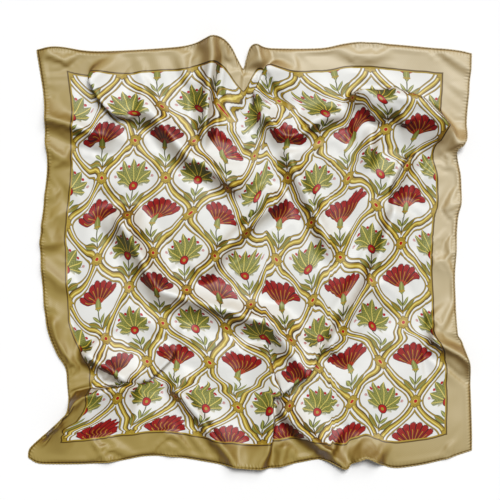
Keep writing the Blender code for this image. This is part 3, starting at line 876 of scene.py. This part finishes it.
def carnation(tree, x, y):
    """Layers of a carnation that stands on the middle of its oval."""
    base_y = add(tree, "ShaderNodeMath ADD", y, 10.0)
    reach, angle = polar(tree, x, base_y)
    in_petal = add(tree, "ShaderNodeMath PINGPONG", angle, PETAL_TURN / 2)
    share = add(tree, "ShaderNodeMath MULTIPLY", in_petal, 2 / PETAL_TURN)
    tooth = add(tree, "ShaderNodeMath PINGPONG", angle, TEETH_TURN)
    corner = add(tree, "ShaderNodeMath POWER", share, 2.0)
    rim = add(tree, "ShaderNodeMath MULTIPLY_ADD", corner, PETAL_ROUND, reach)
    rim = add(tree, "ShaderNodeMath MULTIPLY_ADD", tooth, TEETH_DEEP / TEETH_TURN, rim)
    fan = add(tree, "ShaderNodeMath SUBTRACT", rim, PETAL_REACH)
    far_turn = add(tree, "ShaderNodeMath ABSOLUTE", angle)
    turned = add(tree, "ShaderNodeMath SUBTRACT", far_turn, FAN_TURN)
    side = add(tree, "ShaderNodeMath MULTIPLY", turned, reach)
    vein = add(tree, "ShaderNodeMath MULTIPLY", line_at(tree, share, 1.0, 0.16), PETAL_HALF)
    off_vein = add(tree, "ShaderNodeMath MULTIPLY", vein, -1.0)
    strand = add(tree, "ShaderNodeMath PINGPONG", angle, PETAL_TURN / (2 * STRANDS))
    strand = add(tree, "ShaderNodeMath MULTIPLY", strand, reach)
    outer = add(tree, "ShaderNodeMath SUBTRACT", 16.0, reach)
    fine = add(tree, "ShaderNodeMath SUBTRACT", strand, 0.45)
    streak = add(tree, "ShaderNodeMath MULTIPLY", line_at(tree, share, 0.0, 0.14), PETAL_HALF)
    streak_reach = line_at(tree, reach, 22.0, 12.0)
    calyx, calyx_rib = leaf(tree, x, base_y, (0.0, -14.0), (0.0, 14.0), 6.4)
    on_calyx = add(tree, "ShaderNodeMath SUBTRACT", calyx, 1.5)
    return [
        *stalk(tree, x, y),
        (inked(tree, fan, side), WINE),
        (inked(tree, add(tree, "ShaderNodeMath ADD", fan, 1.4), side, off_vein), RED),
        (inked(tree, fine, outer, fan, side), WINE),
        (inked(tree, streak, streak_reach, side), GOLD),
        (inked(tree, calyx), MOSS),
        (inked(tree, add(tree, "ShaderNodeMath ADD", calyx, 1.1)), OLIVE),
        (inked(tree, calyx, calyx_rib), SAGE),
        (inked(tree, line_at(tree, base_y, -6.5, 1.7), on_calyx), GOLD),
    ]


# %% The fan of leaves
LEAF_TURN = math.radians(26)
LEAVES_TURN = 3.5 * LEAF_TURN      # to each side of the middle, for seven leaves in all
BUDS_TURN = 2.6 * LEAF_TURN        # the same for the six buds between them
LEAF_FROM = 7.0            # mm from the foot of the fan to the foot of each leaf
LEAF_REACH = 56.0          # mm to the tip of the middle leaf
LEAF_HALF = 8.2            # mm, half the width of a leaf
SHORTENING = 0.3           # radians for each leaf, whose cosine makes the outer ones shorter
VEIN_STEP = 5.2            # mm between the veins of a leaf
BUD_REACH = 42.0           # mm from the foot of the fan to each bud


def leaf_fan(tree, x, y):
    """Layers of a palmette: seven leaves, red buds between them, and a red heart."""
    base_y = add(tree, "ShaderNodeMath ADD", y, 14.0)
    reach, angle = polar(tree, x, base_y)
    turns = add(tree, "ShaderNodeMath DIVIDE", angle, LEAF_TURN)
    number = add(tree, "ShaderNodeMath ROUND", turns)
    share = add(tree, "ShaderNodeMath SUBTRACT", turns, number)
    aside = add(tree, "ShaderNodeMath MULTIPLY", share, LEAF_TURN)
    u = add(tree, "ShaderNodeMath MULTIPLY", reach, add(tree, "ShaderNodeMath SINE", aside))
    v = add(tree, "ShaderNodeMath MULTIPLY", reach, add(tree, "ShaderNodeMath COSINE", aside))
    step = add(tree, "ShaderNodeMath MULTIPLY", number, SHORTENING)
    shorter = add(tree, "ShaderNodeMath COSINE", step)
    half = add(tree, "ShaderNodeMath MULTIPLY_ADD", shorter, LEAF_REACH / 2, -LEAF_FROM / 2)
    along = add(tree, "ShaderNodeMath SUBTRACT", v, add(tree, "ShaderNodeMath ADD", half, LEAF_FROM))
    bulge = add(tree, "ShaderNodeMath POWER", add(tree, "ShaderNodeMath DIVIDE", along, half), 2.0)
    width = add(tree, "ShaderNodeMath MULTIPLY_ADD", bulge, LEAF_HALF, -LEAF_HALF)
    far_u = add(tree, "ShaderNodeMath ABSOLUTE", u)
    edge = add(tree, "ShaderNodeMath ADD", far_u, width)
    far_turn = add(tree, "ShaderNodeMath ABSOLUTE", angle)
    front = add(tree, "ShaderNodeMath SUBTRACT", far_turn, LEAVES_TURN)
    in_leaf = add(tree, "ShaderNodeMath PINGPONG", angle, LEAF_TURN / 2)
    between = add(tree, "ShaderNodeMath MULTIPLY", line_at(tree, in_leaf, LEAF_TURN / 2, 0.0), reach)
    bud_up = add(tree, "ShaderNodeMath SUBTRACT", reach, BUD_REACH)
    bud = polar(tree, between, bud_up)[0]
    inner = add(tree, "ShaderNodeMath SUBTRACT", far_turn, BUDS_TURN)
    twig = add(tree, "ShaderNodeMath SUBTRACT", between, 0.4)
    aslant = add(tree, "ShaderNodeMath SUBTRACT", v, far_u)
    stripe = add(tree, "ShaderNodeMath PINGPONG", aslant, VEIN_STEP / 2)
    vein = add(tree, "ShaderNodeMath SUBTRACT", stripe, 0.5)
    midrib = add(tree, "ShaderNodeMath SUBTRACT", far_u, 0.7)
    return [
        *stalk(tree, x, y),
        (inked(tree, twig, inner, bud_up), BRONZE),
        (inked(tree, add(tree, "ShaderNodeMath SUBTRACT", bud, 2.9), inner), RED),
        (inked(tree, edge, front), MOSS),
        (inked(tree, add(tree, "ShaderNodeMath ADD", edge, 1.0), front), OLIVE),
        (inked(tree, vein, add(tree, "ShaderNodeMath ADD", edge, 1.6), front), MOSS),
        (inked(tree, midrib, edge, front), STRAW),
        (inked(tree, add(tree, "ShaderNodeMath SUBTRACT", reach, 9.5)), WINE),
        (inked(tree, add(tree, "ShaderNodeMath SUBTRACT", reach, 8.0)), RED),
        (inked(tree, add(tree, "ShaderNodeMath SUBTRACT", reach, 3.2)), GOLD),
    ]


# %% Border with its painted sheen, and frame lines
SHEEN_RISE = (1.5, 1.3, 0.0)    # how fast the painted sheen on the border grows to the right and to the top, in a metre
SHEEN_AT_MIDDLE = 0.33          # how much painted sheen the border would have at the scarf's middle


def border_khaki_and_sheen(tree):
    """The border's khaki, with a painted sheen that pales it to champagne from the lower left to the
    upper right.
    """
    place = add(tree, "ShaderNodeTexCoord").outputs["Object"]
    # Painted sheen: the border pales towards the upper right, where the light falls on it best
    towards_sheen = add(tree, "ShaderNodeVectorMath DOT_PRODUCT", place, SHEEN_RISE)
    share = add(tree, "ShaderNodeMath ADD", towards_sheen, SHEEN_AT_MIDDLE, use_clamp=True)
    return add(tree, "ShaderNodeMix", share, KHAKI, PAINTED_SHEEN_KHAKI, data_type="RGBA")


def frame_lines(tree, inset):
    """Layers of the frame: two lines around the field, and the plain border outside them."""
    depth = add(tree, "ShaderNodeMath SUBTRACT", inset, BORDER / MM)
    return [
        (inked(tree, line_at(tree, depth, 2.0, 2.0)), GOLD),
        (inked(tree, depth), border_khaki_and_sheen(tree)),
        (inked(tree, line_at(tree, depth, 0.0, 1.4)), UMBER),
    ]


# %% All layers on one white ground
def in_oval(tree, x, y):
    """Place in mm from the middle of the oval that x and y lie in."""
    wide, high = TILE_WIDE / 2, TILE_HIGH / 2
    return (
        add(tree, "ShaderNodeMath WRAP", x, wide, -wide),
        add(tree, "ShaderNodeMath WRAP", y, high, -high),
    )


def printed(tree):
    """Colour of the print at each place on the cloth."""
    _, x, y, inset = flat_place(tree)
    next_x = add(tree, "ShaderNodeMath ADD", x, TILE_WIDE / 2)
    next_y = add(tree, "ShaderNodeMath ADD", y, TILE_HIGH / 2)
    layers = [
        *carnation(tree, *in_oval(tree, next_x, next_y)),
        *leaf_fan(tree, *in_oval(tree, x, y)),
        *trellis(tree, x, y),
        *frame_lines(tree, inset),
    ]
    colour = WHITE
    for mask, ink in layers:
        colour = add(tree, "ShaderNodeMix", mask, colour, ink, data_type="RGBA")
    print(len(layers), "layers of dye,", len(tree.nodes), "nodes")
    return colour


# %% [markdown]
# ## Silk twill, hems and thread
#
# Twill ribs are about 0.4 mm apart, too fine to show from two metres, so they are drawn 3 mm apart
# and very faint. Between the large folds the cloth holds small soft dents, which noise at 80 to
# 110 mm gives. Near a hem the slip stitches pull the cloth into short puckers, one to a stitch.
#
# On the steep flank of a fold the colour is painted deeper and warmer, as painted shade where
# the real flank is shaded. The slope of the cloth decides where, by the Normal of the Texture
# Coordinate node. That is the object's own normal, so the painted shade stays where it is when
# the camera moves.

# %% Bumps of the cloth
RIB_STEP = 3.0             # mm between twill ribs as drawn
RIB_RISE = 0.02 * MM
SOFT = {"Detail": 1.0, "Roughness": 0.4}    # noise with little fine grain, as silk has few sharp bends
SWELL_SPAN = 110.0         # mm from one soft swell to the next
SWELL_RISE = 8.0 * MM
CRUSH_SPAN = 80.0          # mm from one fine crease to the next
CRUSH_RISE = 2.5 * MM
PUCKER_REACH = 11.0        # mm from the hem over which the puckers die out
PUCKER_RISE = 1.0 * MM
PUCKER_SPAN = 25.0         # mm over which the puckers grow and shrink
PUCKER_DRIFT = 5.0         # radians by which they stray from the stitches


def cloth_bumps(tree):
    """Normal of silk twill: soft swells, fine creases, puckers along the hems, and ribs."""
    place, x, y, inset = flat_place(tree)
    swells = add(tree, "ShaderNodeTexNoise", place, 1 / SWELL_SPAN, named=SOFT)
    swollen = add(tree, "ShaderNodeBump", 1.0, SWELL_RISE, named={"Height": swells})
    noise = add(tree, "ShaderNodeTexNoise", place, 1 / CRUSH_SPAN, named={**SOFT, "Distortion": 0.6})
    middle = add(tree, "ShaderNodeMath SUBTRACT", noise, 0.5)
    crush = add(tree, "ShaderNodeMath SUBTRACT", 0.0, add(tree, "ShaderNodeMath ABSOLUTE", middle))
    crushed = add(tree, "ShaderNodeBump", 1.0, CRUSH_RISE, named={"Height": crush, "Normal": swollen})
    far_x = add(tree, "ShaderNodeMath ABSOLUTE", x)
    far_y = add(tree, "ShaderNodeMath ABSOLUTE", y)
    along = add(tree, "ShaderNodeMath MINIMUM", far_x, far_y)
    stitch = add(tree, "ShaderNodeMath MULTIPLY", along, math.tau / (STITCH_STEP / MM))
    uneven = add(tree, "ShaderNodeTexNoise", place, 1 / PUCKER_SPAN, named={"Detail": 1.0})
    phase = add(tree, "ShaderNodeMath MULTIPLY_ADD", uneven, PUCKER_DRIFT, stitch)
    fade = add(tree, "ShaderNodeMath MULTIPLY_ADD", inset, -1 / PUCKER_REACH, 1.0, use_clamp=True)
    pull = add(tree, "ShaderNodeMath MULTIPLY", add(tree, "ShaderNodeMath SINE", phase), fade)
    pulled = add(tree, "ShaderNodeMath MULTIPLY", pull, uneven)
    puckered = add(tree, "ShaderNodeBump", 1.0, PUCKER_RISE, named={"Height": pulled, "Normal": crushed})
    diagonal = add(tree, "ShaderNodeMath ADD", x, y)
    rib = add(tree, "ShaderNodeMath MULTIPLY", diagonal, math.tau / (RIB_STEP * math.sqrt(2)))
    ribs = add(tree, "ShaderNodeMath SINE", rib)
    return add(tree, "ShaderNodeBump", 1.0, RIB_RISE, named={"Height": ribs, "Normal": puckered})


# %% The finish of silk twill, with painted shade on steep flanks
CLEAR = dye("#F0F8FF")     # a cloth that would hold no light back, against which the painted shade is tinted; white silk keeps a little blue
LEVEL = 0.98               # upward share of the normal where the cloth counts as level and gets no painted shade
STEEP = 0.58               # and where it counts as steep and gets full painted shade
STEEP_SHADE = 1.15              # painted shade: how many times more the dye is laid on a fold's steep flank
ROLL_STEEP_SHADE = 0.15         # the same painted shade for a hem, kept weak as its sides are steep yet lie open to the light


def silk_finish_and_steep_shade(name, colour_of, bump_of, shade_amount):
    """Satin silk twill: soft wide gloss, and painted shade that makes the colour deeper and warmer on
    the steep flanks of folds.
    """
    material = bpy.data.materials.new(name)
    material.use_nodes = True
    tree = material.node_tree
    tree.nodes.clear()
    facing = add(tree, "ShaderNodeTexCoord").outputs["Normal"]
    upwards = add(tree, "ShaderNodeSeparateXYZ", facing).outputs["Z"]
    upright = add(tree, "ShaderNodeMath ABSOLUTE", upwards)
    # Painted shade: where the cloth is steep, the dye is laid on again, so the colour goes deeper and
    # warmer
    shade_power = add(tree, "ShaderNodeMapRange", upright, LEVEL, STEEP, 0.0, shade_amount)
    colour = colour_of(tree)
    dye_alone = add(tree, "ShaderNodeMix", 1.0, colour, CLEAR, data_type="RGBA", blend_type="DIVIDE")
    shade_tint = add(tree, "ShaderNodeGamma", dye_alone, shade_power)
    shaded_colour = add(tree, "ShaderNodeMix", 1.0, colour, shade_tint, data_type="RGBA", blend_type="MULTIPLY")
    # Silk fibre is near 1.55. Its open weave reflects less, and its ribs spread the gloss
    cloth = add(tree, "ShaderNodeBsdfPrincipled", shaded_colour, named={
        "Roughness": 0.44,
        "IOR": 1.42,
        "Sheen Weight": 0.06,
        "Sheen Roughness": 0.35,
        "Normal": bump_of(tree),
    })
    add(tree, "ShaderNodeOutputMaterial", cloth)
    return material


# %% The finish of the rolled hems and the thread
ROLL_RIBS = 4.0            # ribs across one stitch of a rolled hem
ROLL_RIB_RISE = 0.03 * MM
ROLL_SHADE = 0.15          # share of bronze, as painted shade, halfway between a dimple and a crown
DIMPLE_SHADE = 0.45        # how much more painted shade a dimple has
THREAD_SPECK = 0.3 * MM    # length of a painted light or dark place on the twisted thread


def rolled_colour(tree):
    """Border colour with its painted sheen, and painted shade of bronze in the dimple at each stitch."""
    uv = add(tree, "ShaderNodeUVMap", uv_map="cloth")
    turns = add(tree, "ShaderNodeMath MULTIPLY", add(tree, "ShaderNodeSeparateXYZ", uv), math.tau)
    swell = add(tree, "ShaderNodeMath COSINE", turns)
    # Painted shade: bronze gathers in the dimple at each stitch
    painted_dimple_shade = add(tree, "ShaderNodeMath MULTIPLY_ADD", swell, DIMPLE_SHADE, ROLL_SHADE, use_clamp=True)
    return add(tree, "ShaderNodeMix", painted_dimple_shade, border_khaki_and_sheen(tree), BRONZE, data_type="RGBA")


def rolled_bumps(tree):
    """Twill ribs that wind around the roll."""
    uv = add(tree, "ShaderNodeUVMap", uv_map="cloth")
    turns = add(tree, "ShaderNodeVectorMath DOT_PRODUCT", uv, (ROLL_RIBS, 2.0, 0.0))
    ribs = add(tree, "ShaderNodeMath SINE", add(tree, "ShaderNodeMath MULTIPLY", turns, math.tau))
    return add(tree, "ShaderNodeBump", 1.0, ROLL_RIB_RISE, named={"Height": ribs})


def thread_colour(tree):
    """Silk thread: bronze and the border's colour in random specks, painted as the light and dark of its
    twisted strands.
    """
    place = add(tree, "ShaderNodeTexCoord").outputs["Object"]
    # Painted light and shade: specks of bronze and of the border's colour along the thread
    strand_glints = add(tree, "ShaderNodeTexNoise", place, 1 / THREAD_SPECK, named={"Detail": 1.0})
    return add(tree, "ShaderNodeMix", strand_glints, BRONZE, border_khaki_and_sheen(tree), data_type="RGBA")


# %% Dress the silk and the hems
silk_twill = silk_finish_and_steep_shade("printed_silk_twill", printed, cloth_bumps, STEEP_SHADE)
rolled_twill = silk_finish_and_steep_shade("rolled_silk_twill", rolled_colour, rolled_bumps, ROLL_STEEP_SHADE)
thread = silk_finish_and_steep_shade("silk_thread", thread_colour, lambda tree: None, ROLL_STEEP_SHADE)
silk.data.materials.append(silk_twill)
for hem in hems.values():
    hem.data.materials.append(rolled_twill)
print("finishes:", silk_twill.name, rolled_twill.name, thread.name)

# %% Sew the stitches
def sewn(name, lines, tree, finish):
    """One mesh with a row of stitches along each line."""
    points = np.vstack(lines)
    ends = np.cumsum([len(line) for line in lines])
    edges = [(i, i + 1) for i in range(len(points) - 1) if i + 1 not in ends]
    mesh = bpy.data.meshes.new(name + "_lines")
    mesh.from_pydata(points, edges, [])
    guide = placed(name + "_lines", mesh)
    modifier = guide.modifiers.new("sewing", "NODES")
    modifier.node_group = tree
    given = {item.name: item.identifier for item in tree.interface.items_tree if item.in_out == "INPUT"}
    modifier[given["Spacing"]] = STITCH_STEP
    modifier[given["Thread radius"]] = THREAD_RADIUS
    modifier[given["Finish"]] = finish
    ready = guide.evaluated_get(bpy.context.evaluated_depsgraph_get())
    piece = placed(name, bpy.data.meshes.new_from_object(ready))
    bpy.data.objects.remove(guide)
    return piece


stitches = sewn("slip_stitches", list(hem_lines.values()), stitch_tree(), thread)
stitches.data.shade_smooth()
print("stitches:", len(stitches.data.polygons), "faces")

# %% [markdown]
# ## Floor, light and camera
#
# A scarf laid out for sale is lit by large soft lights over its top edge, so each fold is bright
# on its upper slope and shaded on its lower one. The camera looks straight down.

# %% Floor
FLOOR_REACH = 40.0         # metres to each side, so far that its rim stays out of sight

floor = level_square("floor", FLOOR_REACH)
# Matt paper scatters the light evenly and mirrors nothing, so only the soft shadow shows
paper = bpy.data.materials.new("matt_paper")
paper.use_nodes = True
for socket, value in {"Base Color": dye("#F6F6F6"), "Roughness": 0.9, "Specular IOR Level": 0.1}.items():
    paper.node_tree.nodes["Principled BSDF"].inputs[socket].default_value = value
floor.data.materials.append(paper)
print("floor:", 2 * FLOOR_REACH, "m wide")

# %% Lights
def soft_sun(name, towards, spread, strength):
    """Even light from a patch of sky in this direction, with its width in degrees."""
    data = bpy.data.lights.new(name, "SUN")
    data.angle = math.radians(spread)
    data.energy = strength
    lamp = placed(name, data)
    lamp.rotation_euler = Vector(towards).to_track_quat("Z", "Y").to_euler()
    print(name, "from", towards, "with strength", strength)


soft_sun("ceiling_light", towards=(0.12, 0.42, 1.0), spread=22.0, strength=2.3)
soft_sun("window_light", towards=(0.5, 0.8, 1.0), spread=34.0, strength=0.95)
world = bpy.data.worlds.new("studio")
world.use_nodes = True
sky = world.node_tree.nodes["Background"].inputs
sky["Color"].default_value = dye("#FFFFFF")
sky["Strength"].default_value = 0.2
bpy.context.scene.world = world

# %% Camera
VIEW_WIDE = 960 * MM       # what the frame shows from side to side, on the table
CAMERA_HIGH = 2.4          # m above the table
SENSOR = 36.0              # mm
AIM = np.array((0.48, 4.8)) * MM - MIDDLE    # place on the table under the camera

lens = bpy.data.cameras.new("camera")
lens.sensor_width = SENSOR
lens.lens = SENSOR * CAMERA_HIGH / VIEW_WIDE
camera = placed("camera", lens)
camera.location = (*AIM, CAMERA_HIGH)
bpy.context.scene.camera = camera
bpy.context.scene.view_settings.view_transform = "Standard"
print("camera:", round(lens.lens, 1), "mm lens,", CAMERA_HIGH, "m up")

# %% Tell the frame what each piece is
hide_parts("silk_panel")
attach(silk, "root")
for node, hem in hems.items():
    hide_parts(node)
    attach(hem, "root")
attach(stitches, "root")
